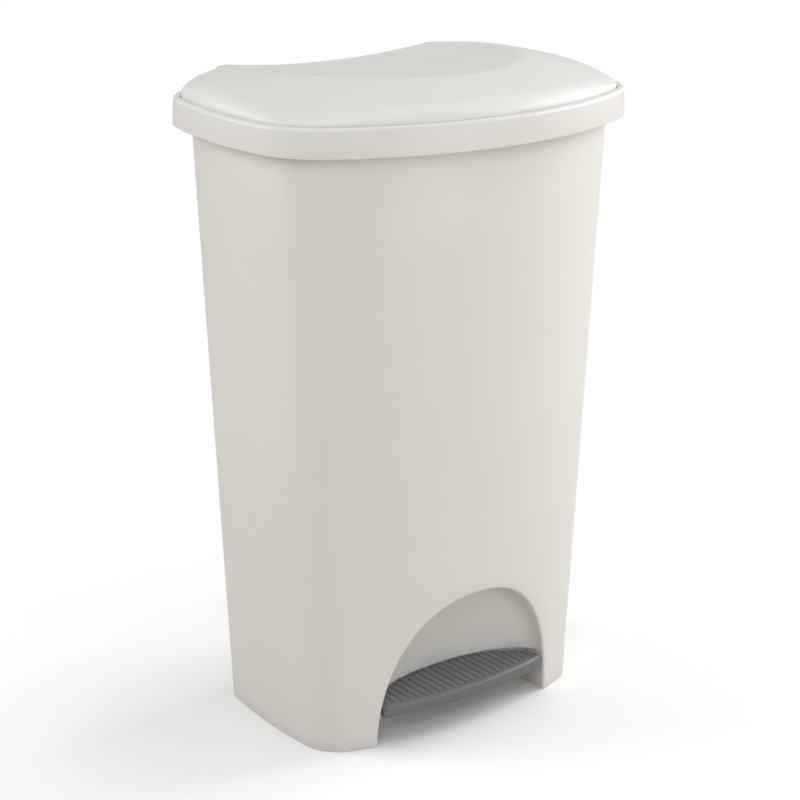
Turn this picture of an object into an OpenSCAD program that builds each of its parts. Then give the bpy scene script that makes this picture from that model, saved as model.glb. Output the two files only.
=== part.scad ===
// Free-standing pedal bin: tapered moulded body with a toe niche, lift-off collar that holds the
// bag, domed lid with a dished top, and a push linkage from the pedal to the lid.
// Units are millimetres. X is right, Y is towards the back, Z is up. The origin is on the floor,
// under the middle of the collar.

/* [Collar] */
// Overall width of the collar, left to right
collar_w = 450; // [430:5:480]
// Overall depth of the collar, front to back
collar_d = 315; // [300:5:340]
// Height of the collar's lower edge above the floor
collar_z = 628.5; // [600:0.5:660]
// Height of the collar's outer band
collar_h = 28.5; // [24:0.5:34]
// Width of the collar's top lip, from the band to the groove around the lid
lip_w = 8; // [6:0.5:9]
// Depth of the ledge below the lip, on which the lid closes
ledge_drop = 17.3; // [16:0.1:20]
// Depth of the dip in the band's rim behind the lid, which lets the lid's back edge swing over it
back_dip = 5; // [4.5:0.1:7]
// Half width of the dip in the band's rim
back_dip_half_w = 164; // [161:0.5:170]
// Distance from the band's outer face to the throat's inner face
throat_inset = 30; // [28:0.5:40]
// Depth of the throat that holds the bag, below the ledge
throat_h = 32; // [20:1:36]

/* [Body] */
// Half width of the body at the floor
foot_half_w = 174; // [165:1:185]
// How far the body's front at the floor lies behind the collar's front
foot_front_inset = 49.5; // [40:0.5:52]
// How far the body's back at the floor lies inside the collar's back
foot_back_inset = 39.5; // [36:0.5:43]
// How far the body's top lies inside the collar's band
body_inset = 18.9; // [17:0.1:21]
// Wall thickness of the body and of its floor
body_wall = 3; // [2.5:0.1:4]
// Height of the underside of the raised floor
floor_z = 72; // [70:1:90]

/* [Niche] */
// Half width of the toe niche at the floor
niche_half_w = 112; // [108:1:118]
// Height of the toe niche
niche_h = 153; // [140:1:170]
// Depth of the toe niche
niche_depth = 63; // [60:1:68]
// Depth at which the niche's scoop begins to curve
niche_mouth = 16; // [12:1:20]
// Height of the straight pocket in which the pedal swings
pocket_h = 49; // [48:1:60]

/* [Lid] */
// Gap between the collar's lip and the lid
lid_groove = 1; // [0.8:0.1:2]
// Wall thickness of the lid
lid_wall = 2.5; // [2:0.1:3.5]
// Height of the dome's crown above the collar's top edge, without the dish
crown_h = 43; // [38:0.2:48]
// Width of the rounded band around the dome
round_w = 17; // [14:0.1:22]
// Height of the dish's lowest line above the collar's top edge
dish_h = 10; // [9:0.1:15]
// Angle to which the lid opens
lid_open = 75; // [60:1:80]

/* [Hinge] */
// Distance from the lid's back face to the hinge axis
hinge_inset = 10.5; // [10:0.1:13]
// Height of the hinge axis above the collar's top edge
hinge_rise = 4; // [3.6:0.1:4.5]
// Radius of the hinge pins
hinge_pin_r = 3; // [2.5:0.1:3.2]
// Distance from the middle to each hinge
hinge_x = 110; // [90:1:115]
// Radial clearance of a turning or sliding fit
fit_gap = 0.05; // [0.02:0.01:0.09]
// Radius at which the heel's round bar lies from the hinge axis
heel_r = 25; // [23:0.5:27]
// Radius of the heel's round bar
heel_bar_r = 4; // [3:0.1:4.5]

/* [Push rod] */
// Radius of the steel push rod
rod_r = 3.5; // [3:0.1:4]
// Length of the moulded head on the rod
head_h = 20; // [16:1:24]
// Length of the moulded foot on the rod
foot_h = 14; // [12:1:20]
// Gap that each push contact leaves at rest
push_gap = 0.3; // [0.2:0.05:0.5]
// Half width of the channel in which the rod runs
channel_half_w = 20; // [19:0.5:24]
// Distance from the rod's axis to the channel's back
channel_back = 7.65; // [7:0.05:9]
// Distance from the rod's axis to the channel's cover
channel_front = 9.85; // [9:0.05:11]
// Length of each rod guide
guide_h = 12; // [10:1:20]

/* [Pedal] */
// Half width of the pedal
pedal_half_w = 104; // [98:1:105]
// How far the pedal's front edge stands in front of the body's front at the floor
pedal_lead = 0; // [-2:1:2]
// Height of the pedal's top above the floor
pedal_top = 46; // [44:0.5:47]
// Thickness of the pedal at its edge
pedal_h = 14; // [12:0.5:15]
// Wall thickness of the pedal's moulding
pedal_wall = 3; // [2.5:0.1:3.5]
// Gap between the pedal's back edge and the niche
pedal_gap = 4; // [3.5:0.1:6]
// Gap behind the pedal in the pocket in which it swings
pocket_gap = 7; // [6.5:0.1:8]
// Distance from the body's front at the floor to the lever's pivot
pivot_depth = 100; // [96:0.5:104]
// Height of the lever's pivot
pivot_z = 38; // [36:0.5:40]
// Radius of the lever's axle
axle_r = 4; // [3.5:0.1:4.5]
// Thickness of each lever arm
arm_t = 3.5; // [3:0.1:4]
// Height of each lever arm
arm_h = 10; // [8:0.5:12]
// Distance from the middle to the inner face of each arm
arm_x = 13; // [12:0.5:14]
// Radius of the lever's nose, which lifts the rod
nose_r = 5; // [4:0.1:6]

/* [Hardware] */
// Radius of the screws' threaded shanks
screw_r = 1.8; // [1.5:0.1:2.2]
// Radius of the screws' heads
screw_head_r = 3.6; // [3:0.1:4]
// Height of the screws' heads
screw_head_h = 2.2; // [1.8:0.1:3]
// Radius of the lid's rubber buffers
buffer_r = 4; // [3:0.1:5]

/* [Hidden] */
// Names of what comes in pairs and in fours, with the signs of its place in X and Y.
SIDES = [["left", -1], ["right", 1]];
CORNERS = [["front_left", -1, -1], ["front_right", 1, -1], ["back_left", -1, 1], ["back_right", 1, 1]];

// Radial play of a screw in the hole that it passes through
screw_play = 0.2;

plastic = "whitesmoke";
steel = "silver";
grey = "dimgray";

foot_front = collar_d / 2 - foot_front_inset;
foot_back = collar_d / 2 - foot_back_inset;
pedal_front = foot_front + pedal_lead;
pivot_y = pivot_depth - foot_front;

// The plan of the collar's band: half width, front, back, radii of the front and side bows,
// place of the widest line, and radii of the front and back corners.
collar_plan = [collar_w / 2, collar_d / 2, collar_d / 2, 365, 400, 12.75, 82, 63];
// The plan of the body's foot, in the same terms.
foot_plan = [foot_half_w, foot_front, foot_back, 397, 613, 12.75, 45.5, 30];

// Moves a plan inwards by d, with every bow and corner kept parallel.
function inset(p, d) = [p[0] - d, p[1] - d, p[2] - d, p[3] - d, p[4] - d, p[5], p[6] - d, p[7] - d];
function mix(p, q, t) = [for (i = [0:7]) p[i] + (q[i] - p[i]) * t];

// Centres of the plan's bows and of its right corners.
function front_c(p) = [0, p[3] - p[1]];
function side_c(p) = [p[0] - p[4], p[5]];
function front_corner_c(p) =
    let (c = front_c(p), s = side_c(p), r1 = p[3] - p[6], r2 = p[4] - p[6],
         d = norm(s - c), u = (s - c) / d, m = (r1 * r1 - r2 * r2 + d * d) / (2 * d),
         h = sqrt(r1 * r1 - m * m), k1 = c + m * u + h * [-u[1], u[0]], k2 = c + m * u - h * [-u[1], u[0]])
    k1[1] < k2[1] ? k1 : k2;
function back_corner_c(p) =
    let (s = side_c(p), y = p[2] - p[7], r = p[4] - p[7])
    [s[0] + sqrt(r * r - (y - s[1]) * (y - s[1])), y];
function heading(from, to) = atan2(to[1] - from[1], to[0] - from[0]);
function arc(c, r, a0, a1, n, first) =
    [for (i = [first:n]) c + r * [cos(a0 + (a1 - a0) * i / n), sin(a0 + (a1 - a0) * i / n)]];

// Right half of a plan, from the middle of its front to its back corner.
function half_plan(p) =
    let (c = front_c(p), s = side_c(p), f = front_corner_c(p), b = back_corner_c(p),
         a1 = heading(c, f), a2 = heading(s, f), a3 = heading(s, b))
    concat(arc(c, p[3], -90, a1, 9, 0), arc(f, p[6], a1, a2, 6, 1),
           arc(s, p[4], a2, a3, 8, 1), arc(b, p[7], a3, 90, 6, 1));
function mirrored(half) = concat(half, [for (i = [len(half) - 1:-1:1]) [-half[i][0], half[i][1]]]);
function outline(p) = mirrored(half_plan(p));
function at_z(points, z) = [for (q = points) [q[0], q[1], z]];

body_top_plan = inset(collar_plan, body_inset);
collar_top = collar_z + collar_h;
ledge_z = collar_top - ledge_drop;
collar_wall = 2.5;
body_top = ledge_z - collar_wall;
function body_plan(z) = mix(foot_plan, body_top_plan, z / collar_z);
function back_in(z) = body_plan(z)[2] - body_wall;

// Straight-sided solid between two plans at two heights.
module loft(p0, z0, p1, z1) {
    low = at_z(outline(p0), z0);
    high = at_z(outline(p1), z1);
    n = len(low);
    sides = [for (i = [0:n - 1]) let (j = (i + 1) % n) each [[i, i + n, j + n], [i, j + n, j]]];
    polyhedron(concat(low, high),
               concat([[for (i = [0:n - 1]) i]], [[for (i = [n - 1:-1:0]) i + n]], sides));
}
module plan_prism(p, z0, z1) {
    translate([0, 0, z0]) linear_extrude(z1 - z0) polygon(outline(p));
}
module plan_ring(outer_d, inner_d, z0, z1) {
    translate([0, 0, z0])
        linear_extrude(z1 - z0)
            difference() {
                polygon(outline(inset(collar_plan, outer_d)));
                polygon(outline(inset(collar_plan, inner_d)));
            }
}
// Convex solid around a list of points.
module around(points) {
    hull() polyhedron(points, [[for (i = [0:len(points) - 1]) i]]);
}
module block(low, high) {
    translate(low) cube(high - low);
}
module bar_x(x0, x1, y, z, r) {
    translate([x0, y, z]) rotate([0, 90, 0]) cylinder(h = x1 - x0, r = r, $fn = 48);
}
// Extrudes points given as [y, z] from x0 to x1.
module side_prism(points, x0, x1) {
    translate([x0, 0, 0]) rotate([90, 0, 90]) linear_extrude(x1 - x0) polygon(points);
}

// Hinge axis, push rod and lever, worked out from the lid's opening angle.
lid_plan = inset(collar_plan, lip_w + lid_groove);
hinge_y = lid_plan[2] - hinge_inset;
hinge_z = collar_top + hinge_rise;
heel_start = 30;
heel_y = hinge_y - heel_r * cos(heel_start);
heel_z = hinge_z - heel_r * sin(heel_start);
rod_travel = heel_r * (sin(lid_open - heel_start) + sin(heel_start));
rod_y = heel_y;
head_top = heel_z - heel_bar_r - push_gap;
lever_len = rod_y - pivot_y;
lever_half = asin(rod_travel / 2 / lever_len);
nose_z = pivot_z - lever_len * sin(lever_half);
nose_y = pivot_y + lever_len * cos(lever_half);
foot_bottom = nose_z + nose_r + push_gap;
rod_top = head_top - 8;
rod_bottom = foot_bottom + 4;
channel_y0 = rod_y - channel_front;
channel_y1 = rod_y + channel_back;
cover_t = 2.5;
cover_top = ledge_z - throat_h - 9;
cover_bottom = floor_z + body_wall;

// ---------------------------------------------------------------- body

// Toe niche, grown by d on every side: a rounded scoop above, which opens forwards, and below it
// a straight pocket in which the pedal swings.
niche_mouth_y = niche_mouth - foot_front;
niche_back_y = niche_depth - foot_front;
pocket_corner_r = 18;
module niche(d) {
    w = niche_half_w + d;
    h = niche_h + d;
    depth = niche_back_y + d - niche_mouth_y;
    power = 2 / 2.2;
    rim = [for (a = [0:9:180]) [w * sign(cos(a)) * pow(abs(cos(a)), power), h * pow(sin(a), power)]];
    inner = [for (t = [0:10:80]) each [for (q = rim)
        [q[0] * cos(t), depth * sin(t) + niche_mouth_y, q[1] * cos(t)]]];
    front = [for (q = rim) [q[0], -collar_d / 2 - 10, q[1]]];
    around(concat(inner, front, [[0, niche_back_y + d, 0]]));
    translate([0, 0, -1]) linear_extrude(pocket_h + d + 1) intersection() {
        polygon(pocket_plan(d));
        polygon(outline(inset(foot_plan, body_wall - d)));
    }
}
function pocket_plan(d) =
    let (w = niche_half_w + d, y = niche_back_y + pocket_gap - pedal_gap + d, r = pocket_corner_r)
    concat([[-w, -collar_d], [w, -collar_d]], arc([w - r, y - r], r, 0, 90, 6, 0),
           arc([r - w, y - r], r, 90, 180, 6, 0));
module cover_screw_places() {
    for (sx = [-1, 1], z = cover_screw_z) translate([sx * cover_screw_x, 0, z]) children();
}
cover_screw_x = 13;
cover_screw_z = [130, 220];
spine_wall = 3;
spine_y = channel_y1 + spine_wall;
spine_half_w = channel_half_w + spine_wall;
// height at which the sloping back wall reaches the spine's back face
spine_top = collar_z * (spine_y - foot_back) / (body_top_plan[2] - foot_back);

module body_shell() {
    color(plastic) difference() {
        union() {
            difference() {
                loft(foot_plan, 0, body_plan(body_top), body_top);
                difference() {
                    loft(inset(body_plan(floor_z + body_wall), body_wall), floor_z + body_wall,
                         inset(body_plan(body_top + 1), body_wall), body_top + 1);
                    niche(body_wall);
                }
                difference() {
                    loft(inset(body_plan(-1), body_wall), -1, inset(body_plan(floor_z), body_wall), floor_z);
                    niche(body_wall);
                }
            }
            // spine at the back, around the foot of the rod's channel
            side_prism([[foot_back - 1, 0], [spine_y, 0], [spine_y, spine_top], [spine_y - 1, spine_top]],
                       -spine_half_w, spine_half_w);
        }
        niche(0);
        block([-channel_half_w, channel_y0, -1], [channel_half_w, channel_y1, spine_top + 10]);
        // way for the lever through the pocket's back wall
        block([-arm_x - arm_t - 7, niche_back_y - 6, -1],
              [arm_x + arm_t + 7, niche_back_y + body_wall + 6, pivot_z + arm_h / 2 + 2]);
        cover_screw_places() rotate([90, 0, 0])
            translate([0, 0, -spine_y - 1]) cylinder(h = spine_wall + 2, r = screw_r + screw_play, $fn = 24);
        for (sx = [-1, 1], sy = [-1, 1])
            bracket_screw_at(sx, sy, floor_z) cylinder(h = body_wall - 0.5, r = screw_r, $fn = 24);
    }
}

// ---------------------------------------------------------------- rod channel

module channel_cover() {
    low_back = back_in(cover_bottom);
    high_back = back_in(cover_top);
    color(plastic) difference() {
        union() {
            block([-channel_half_w - cover_t, channel_y0 - cover_t, cover_bottom],
                  [channel_half_w + cover_t, channel_y0, cover_top]);
            for (sx = [-1, 1])
                side_prism([[channel_y0 - cover_t, cover_bottom], [low_back, cover_bottom],
                            [high_back, cover_top], [channel_y0 - cover_t, cover_top]],
                           sx > 0 ? channel_half_w : -channel_half_w - cover_t,
                           sx > 0 ? channel_half_w + cover_t : -channel_half_w);
            cover_screw_places() rotate([-90, 0, 0])
                translate([0, 0, channel_y0 - 1]) cylinder(h = channel_y1 - channel_y0 + 1, r = 4, $fn = 32);
        }
        cover_screw_places() rotate([-90, 0, 0])
            translate([0, 0, channel_y0 + 2]) cylinder(h = 30, r = screw_r, $fn = 24);
    }
}
// Screw that points along +Z, with the underside of its head at z = 0.
module screw(len) {
    translate([0, 0, -screw_head_h]) cylinder(h = screw_head_h, r = screw_head_r, $fn = 32);
    cylinder(h = len, r = screw_r, $fn = 24);
}
module cover_screw(sx, z) {
    color(steel) translate([sx * cover_screw_x, spine_y, z]) rotate([90, 0, 0]) screw(spine_wall + 12);
}
module rod_guide(z) {
    color(grey) difference() {
        block([-channel_half_w, channel_y0, z], [channel_half_w, max(channel_y1, back_in(z)), z + guide_h]);
        translate([0, rod_y, z - 1]) cylinder(h = guide_h + 2, r = rod_r + fit_gap, $fn = 48);
    }
}

// ---------------------------------------------------------------- pivot

bracket_x = arm_x + arm_t + 4.5;
bracket_t = 4;
bracket_flange = 16;
bracket_half_y = 17;
bracket_foot = 3;
bracket_screw_x = bracket_x + bracket_t + bracket_flange / 2 - 1;
bracket_screw_half_y = bracket_half_y - 6;
// Puts a child at one of the brackets' four screws, at height z.
module bracket_screw_at(sx, sy, z) {
    translate([sx * bracket_screw_x, pivot_y + sy * bracket_screw_half_y, z]) children();
}
module pivot_bracket(sx) {
    color(grey) mirror([sx < 0 ? 1 : 0, 0, 0]) difference() {
        union() {
            side_prism([[pivot_y - bracket_half_y, floor_z], [pivot_y - bracket_half_y, floor_z - 6],
                        [pivot_y - 8, pivot_z], [pivot_y + 8, pivot_z],
                        [pivot_y + bracket_half_y, floor_z - 6], [pivot_y + bracket_half_y, floor_z]],
                       bracket_x, bracket_x + bracket_t);
            bar_x(bracket_x, bracket_x + bracket_t, pivot_y, pivot_z, 8);
            block([bracket_x, pivot_y - bracket_half_y, floor_z - bracket_foot],
                  [bracket_x + bracket_t + bracket_flange, pivot_y + bracket_half_y, floor_z]);
        }
        bar_x(bracket_x - 1, bracket_x + bracket_t + 1, pivot_y, pivot_z, axle_r + fit_gap);
        for (sy = [-1, 1])
            bracket_screw_at(1, sy, floor_z - bracket_foot - 1)
                cylinder(h = bracket_foot + 2, r = screw_r + screw_play, $fn = 24);
    }
}
module bracket_screw(sx, sy) {
    color(steel) bracket_screw_at(sx, sy, floor_z - bracket_foot) screw(bracket_foot + body_wall - 0.6);
}

// ---------------------------------------------------------------- push rod

module push_rod() {
    color(steel) translate([0, rod_y, rod_bottom]) cylinder(h = rod_top - rod_bottom, r = rod_r, $fn = 48);
}
head_half_x = 5.5;
head_half_y = 6.5;
module rod_head() {
    color(grey) difference() {
        block([-head_half_x, rod_y - head_half_y, head_top - head_h],
              [head_half_x, rod_y + head_half_y, head_top]);
        translate([0, rod_y, head_top - head_h - 1])
            cylinder(h = rod_top - head_top + head_h + 1, r = rod_r, $fn = 48);
    }
}
module rod_foot() {
    color(grey) difference() {
        block([-10, rod_y - 6, foot_bottom], [10, rod_y + 6, foot_bottom + foot_h]);
        translate([0, rod_y, rod_bottom]) cylinder(h = foot_h, r = rod_r, $fn = 48);
    }
}

// ---------------------------------------------------------------- pedal and lever

pedal_corner_y = pedal_front - 13;
pedal_back = foot_front - niche_depth + pedal_gap;
// Plan of the pedal: a bowed front edge and an oval back edge, grown by d.
function pedal_plan(d) =
    let (w = pedal_half_w + d, bow = pedal_front - pedal_corner_y,
         r = (pedal_half_w * pedal_half_w + bow * bow) / (2 * bow), a = asin(pedal_half_w / r),
         deep = pedal_corner_y - pedal_back + d)
    concat([for (i = [-6:6]) [(r + d) * sin(a * i / 6), r - pedal_front - (r + d) * cos(a * i / 6)]],
           [for (t = [10:10:170]) [w * cos(t), deep * sin(t) - pedal_corner_y]]);
module pedal_slab(d, z0, z1) {
    translate([0, 0, z0]) linear_extrude(z1 - z0) polygon(pedal_plan(d));
}
pedal_bottom = pedal_top - pedal_h;
carrier_top = pedal_top - pedal_wall;
carrier_t = 3;
carrier_half_w = 68;
carrier_lead = 16;
carrier_gap = 15;
carrier_y0 = carrier_lead - pedal_front;
carrier_y1 = -pedal_back - carrier_gap;
arm_top = carrier_top - carrier_t;
tread_screw_x = 50;
// Puts a child at one of the tread's four screws, at height z.
module tread_screw_at(sx, sy, z) {
    middle = (carrier_y0 + carrier_y1) / 2;
    translate([sx * tread_screw_x, middle + sy * (carrier_y1 - carrier_y0) / 4, z]) children();
}
module pedal_tread() {
    color(grey) difference() {
        pedal_slab(0, pedal_bottom, pedal_top);
        pedal_slab(-pedal_wall, pedal_bottom - 1, carrier_top);
        // way for the arms through the back edge
        block([-arm_x - arm_t - 1, -pedal_back - pedal_wall - 15, pedal_bottom - 1],
              [arm_x + arm_t + 1, -pedal_back + 1, carrier_top]);
        for (sx = [-1, 1], sy = [-1, 1])
            tread_screw_at(sx, sy, carrier_top - 1) cylinder(h = pedal_wall, r = screw_r, $fn = 24);
    }
}
module tread_carrier() {
    color(steel) difference() {
        block([-carrier_half_w, carrier_y0, arm_top], [carrier_half_w, carrier_y1, carrier_top]);
        for (sx = [-1, 1], sy = [-1, 1])
            tread_screw_at(sx, sy, arm_top - 1)
                cylinder(h = carrier_t + 2, r = screw_r + screw_play, $fn = 24);
    }
}
module tread_screw(sx, sy) {
    color(steel) tread_screw_at(sx, sy, arm_top) screw(carrier_t + pedal_wall - 1.2);
}
module lever_arm(sx) {
    x0 = sx > 0 ? arm_x : -arm_x - arm_t;
    half = arm_h / 2;
    color(steel) difference() {
        union() {
            side_prism([[carrier_y0 + 2, arm_top - arm_h + 3], [carrier_y1, arm_top - arm_h],
                        [pivot_y, pivot_z - half], [nose_y, nose_z - half], [nose_y, nose_z + half],
                        [pivot_y, pivot_z + half], [carrier_y1, arm_top], [carrier_y0 + 2, arm_top]],
                       x0, x0 + arm_t);
            bar_x(x0, x0 + arm_t, nose_y, nose_z, half);
            bar_x(x0, x0 + arm_t, pivot_y, pivot_z, half + 2);
        }
        bar_x(x0 - 1, x0 + arm_t + 1, pivot_y, pivot_z, axle_r);
    }
}
module lever_nose() {
    color(grey) bar_x(-arm_x, arm_x, nose_y, nose_z, nose_r);
}
axle_half = bracket_x + bracket_t + 3;
clip_t = 1.2;
module lever_axle() {
    color(steel) bar_x(-axle_half, axle_half, pivot_y, pivot_z, axle_r);
}
module axle_clip(sx) {
    x0 = bracket_x + bracket_t + 0.3;
    color(steel) mirror([sx < 0 ? 1 : 0, 0, 0]) difference() {
        bar_x(x0, x0 + clip_t, pivot_y, pivot_z, axle_r + 3);
        bar_x(x0 - 1, x0 + clip_t + 1, pivot_y, pivot_z, axle_r);
    }
}

// ---------------------------------------------------------------- collar

housing_half_w = channel_half_w + 3.5;
housing_wall = 2.5;
housing_flange = 7;
throat_y = collar_d / 2 - throat_inset;
// Space of the dip in the band's rim, grown by d to the sides and downwards.
module rim_dip(d) {
    block([-back_dip_half_w - d, throat_y, collar_top - back_dip - d],
          [back_dip_half_w + d, collar_d / 2 + 1, collar_top + 1]);
}
module collar() {
    color(plastic) union() {
        difference() {
            union() {
                plan_ring(0, collar_wall, collar_z, collar_top);
                plan_ring(0, lip_w, collar_top - collar_wall, collar_top);
                plan_ring(lip_w - collar_wall, lip_w, ledge_z - collar_wall, collar_top);
            }
            rim_dip(0);
        }
        intersection() {
            plan_ring(0, lip_w, collar_top - back_dip - collar_wall, collar_top);
            difference() {
                rim_dip(collar_wall);
                rim_dip(0);
            }
        }
        plan_ring(lip_w - collar_wall, throat_inset, ledge_z - collar_wall, ledge_z);
        difference() {
            plan_ring(throat_inset - collar_wall, throat_inset, ledge_z - throat_h, ledge_z);
            block([-housing_half_w + housing_wall, throat_y - 5, ledge_z - throat_h - 1],
                  [housing_half_w - housing_wall, throat_y + 5, ledge_z - collar_wall]);
        }
    }
}
// Moulded cover on the throat that closes the rod's way towards the bag, a U with two flanges.
module rod_housing() {
    y0 = channel_y0 - housing_wall;
    z0 = ledge_z - throat_h;
    color(plastic) union() {
        block([-housing_half_w, y0, z0], [housing_half_w, y0 + housing_wall, ledge_z]);
        for (sx = [-1, 1]) {
            side = sx > 0 ? housing_half_w - housing_wall : -housing_half_w;
            flange = sx > 0 ? housing_half_w : -housing_half_w - housing_flange;
            block([side, y0, z0], [side + housing_wall, throat_y, ledge_z]);
            block([flange, throat_y - housing_wall, z0], [flange + housing_flange, throat_y, ledge_z]);
        }
    }
}

ear_t = 4;
ear_r = 6.5;
ear_gap = 15;
ear_half = ear_gap / 2 + ear_t;
bracket_base_t = 2.5;
module hinge_bracket(sx) {
    color(grey) translate([sx * hinge_x, 0, 0]) difference() {
        union() {
            block([-ear_half, collar_d / 2 - throat_inset + 1, ledge_z],
                  [ear_half, hinge_y + ear_r + 1.5, ledge_z + bracket_base_t]);
            for (x0 = [-ear_half, ear_gap / 2]) {
                block([x0, hinge_y - ear_r, ledge_z], [x0 + ear_t, hinge_y + ear_r, hinge_z]);
                bar_x(x0, x0 + ear_t, hinge_y, hinge_z, ear_r);
            }
        }
        bar_x(-ear_half - 1, ear_half + 1, hinge_y, hinge_z, hinge_pin_r);
    }
}
module hinge_pin(sx) {
    color(steel) translate([sx * hinge_x, 0, 0])
        bar_x(-ear_half - 1, ear_half + 1, hinge_y, hinge_z, hinge_pin_r);
}
buffer_h = 1.2;
buffer_angle = 14;
// Buffer under the lid's edge, on the right or front right of a plan, mirrored for the left.
module lid_buffer(sx, front) {
    p = inset(collar_plan, lip_w + buffer_r + 0.25);
    side = side_c(p) + [p[4], 0];
    spot = front ? front_c(p) + p[3] * [sin(buffer_angle), -cos(buffer_angle)] : side;
    color("black") translate([sx * spot[0], spot[1], ledge_z]) cylinder(h = buffer_h, r = buffer_r, $fn = 40);
}

// ---------------------------------------------------------------- lid

dome_edge = collar_top + 2;
crown_y = 37;
crown_x_drop = 6.2e-4;
crown_y_drop = 9.2e-4;
dish_y = 280;
dish_x_rise = 4.8e-4;
dish_y_rise = 1.5e-4;
lid_skirt = ledge_drop - 1.3;
lid_back_skirt = back_dip + 2;
function crown(x, y) = collar_top + crown_h - crown_x_drop * x * x - crown_y_drop * pow(y - crown_y, 2);
function dish(x, y) = collar_top + dish_h + dish_x_rise * x * x + dish_y_rise * pow(y - dish_y, 2);

// Right half of the dome's plan at distance d from its edge. The back stays flat: behind the corner
// the line turns around the corner's end, so that the rounding runs out at the back face.
function dome_half(p, d) =
    let (q = inset(p, d), b = back_corner_c(p), s = side_c(q), c = front_c(q), f = front_corner_c(q),
         a1 = heading(c, f), a2 = heading(s, f), a3 = heading(s, b))
    concat(arc(c, q[3], -90, a1, 9, 0), arc(f, q[6], a1, a2, 6, 1),
           arc(s, q[4], a2, a3, 8, 1), arc(b, q[7], a3, 90, 6, 1),
           arc([b[0], p[2]], d, -90, -180, 3, 1));
// Dome solid, made smaller by t on every side but its underside at z0.
module dome(t, z0) {
    p = inset(lid_plan, t);
    tilts = [0, 15, 30, 45, 60, 75, 90];
    skin = [for (a = tilts) each
        let (d = max(0.01, round_w * (1 - cos(a))))
        [for (q = mirrored(dome_half(p, d)))
            [q[0], q[1], dome_edge + (crown(q[0], q[1]) - t - dome_edge) * sin(a)]]];
    top = [for (i = [-3:3], j = [-2:3])
        let (x = i * collar_w / 9, y = j * collar_d / 8) [x, y, crown(x, y) - t]];
    around(concat(skin, top, at_z(outline(p), z0)));
}
// Everything above the dish, lowered by t.
module above_dish(t) {
    step_x = collar_w / 15;
    step_y = collar_d / 9;
    low = [for (i = [-8:8], j = [-5:5]) [i * step_x, j * step_y, dish(i * step_x, j * step_y) - t]];
    high = [for (sx = [-8, 8], sy = [-5, 5]) [sx * step_x, sy * step_y, collar_top + 4 * crown_h]];
    around(concat(low, high));
}
boss_half_w = 17;
boss_y0 = hinge_y - 18;
boss_z = hinge_z + 1;
notch_z = hinge_z + 7;
heel_screw_x = 13.3;
heel_screw_y = hinge_y - 12;
module lid_shell() {
    low = collar_top - lid_skirt;
    back_low = collar_top - lid_back_skirt;
    step_y = hinge_y - 18;
    inner_y = lid_plan[2] - lid_wall;
    color(plastic) difference() {
        union() {
            difference() {
                difference() {
                    dome(0, low);
                    above_dish(0);
                }
                difference() {
                    dome(lid_wall, low - 1);
                    above_dish(lid_wall);
                }
            }
            // solid seat for the heel, and the two hinge lugs
            intersection() {
                union() {
                    block([-boss_half_w, boss_y0, boss_z], [boss_half_w, inner_y + 1, hinge_z + 12]);
                    for (sx = [-1, 1])
                        block([sx * hinge_x - ear_gap / 2 + 1, hinge_y - 5.5, hinge_z],
                              [sx * hinge_x + ear_gap / 2 - 1, hinge_y + 5.5, hinge_z + 40]);
                }
                difference() {
                    dome(1, low);
                    above_dish(1);
                }
            }
            for (sx = [-1, 1])
                bar_x(sx * hinge_x - ear_gap / 2 + 1, sx * hinge_x + ear_gap / 2 - 1, hinge_y, hinge_z, 5.5);
        }
        block([-collar_w, step_y, low - 2], [collar_w, collar_d, back_low]);
        for (sx = [-1, 1]) {
            // notches in the back face that let the hinge ears pass
            block([sx * hinge_x - ear_half - 1.5, hinge_y + ear_r, low - 2],
                  [sx * hinge_x + ear_half + 1.5, collar_d, notch_z]);
            bar_x(sx * hinge_x - ear_half, sx * hinge_x + ear_half, hinge_y, hinge_z, hinge_pin_r + fit_gap);
            translate([sx * heel_screw_x, heel_screw_y, boss_z - 1]) cylinder(h = 4.5, r = screw_r, $fn = 24);
        }
    }
}
heel_t = 3;
heel_flange_t = 2.5;
heel_gap = head_half_x + 1;
module heel() {
    color(grey) difference() {
        union() {
            block([-boss_half_w, boss_y0, boss_z - heel_flange_t], [boss_half_w, hinge_y + 7, boss_z]);
            for (x0 = [heel_gap, -heel_gap - heel_t]) {
                side_prism([[boss_y0, boss_z], [hinge_y + 5, boss_z], [hinge_y + 5, hinge_z - 3],
                            [hinge_y - 2, hinge_z - 7], [heel_y + 2, heel_z - heel_bar_r + 0.6],
                            [heel_y - heel_bar_r + 0.5, heel_z + 2]], x0, x0 + heel_t);
                bar_x(x0, x0 + heel_t, heel_y, heel_z, heel_bar_r);
            }
            bar_x(-heel_gap - heel_t, heel_gap + heel_t, heel_y, heel_z, heel_bar_r);
        }
        for (sx = [-1, 1])
            translate([sx * heel_screw_x, heel_screw_y, boss_z - heel_flange_t - 1])
                cylinder(h = heel_flange_t + 2, r = screw_r + screw_play, $fn = 24);
    }
}
module heel_screw(sx) {
    color(steel) translate([sx * heel_screw_x, heel_screw_y, boss_z - heel_flange_t])
        screw(heel_flange_t + 3);
}

body_shell();
channel_cover();
rod_guide(cover_bottom + 10);  // rod_guide_lower
rod_guide(cover_top - 30);  // rod_guide_upper
push_rod();
rod_head();
rod_foot();
pedal_tread();
tread_carrier();
lever_nose();
lever_axle();
collar();
rod_housing();
lid_shell();
heel();
for (q = SIDES) {
    cover_screw(q[1], cover_screw_z[0]);
    cover_screw(q[1], cover_screw_z[1]);
    pivot_bracket(q[1]);
    lever_arm(q[1]);
    axle_clip(q[1]);
    hinge_bracket(q[1]);
    hinge_pin(q[1]);
    lid_buffer(q[1], false);
    lid_buffer(q[1], true);
    heel_screw(q[1]);
}
for (q = CORNERS) {
    bracket_screw(q[1], q[2]);
    tread_screw(q[1], q[2]);
}
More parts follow.
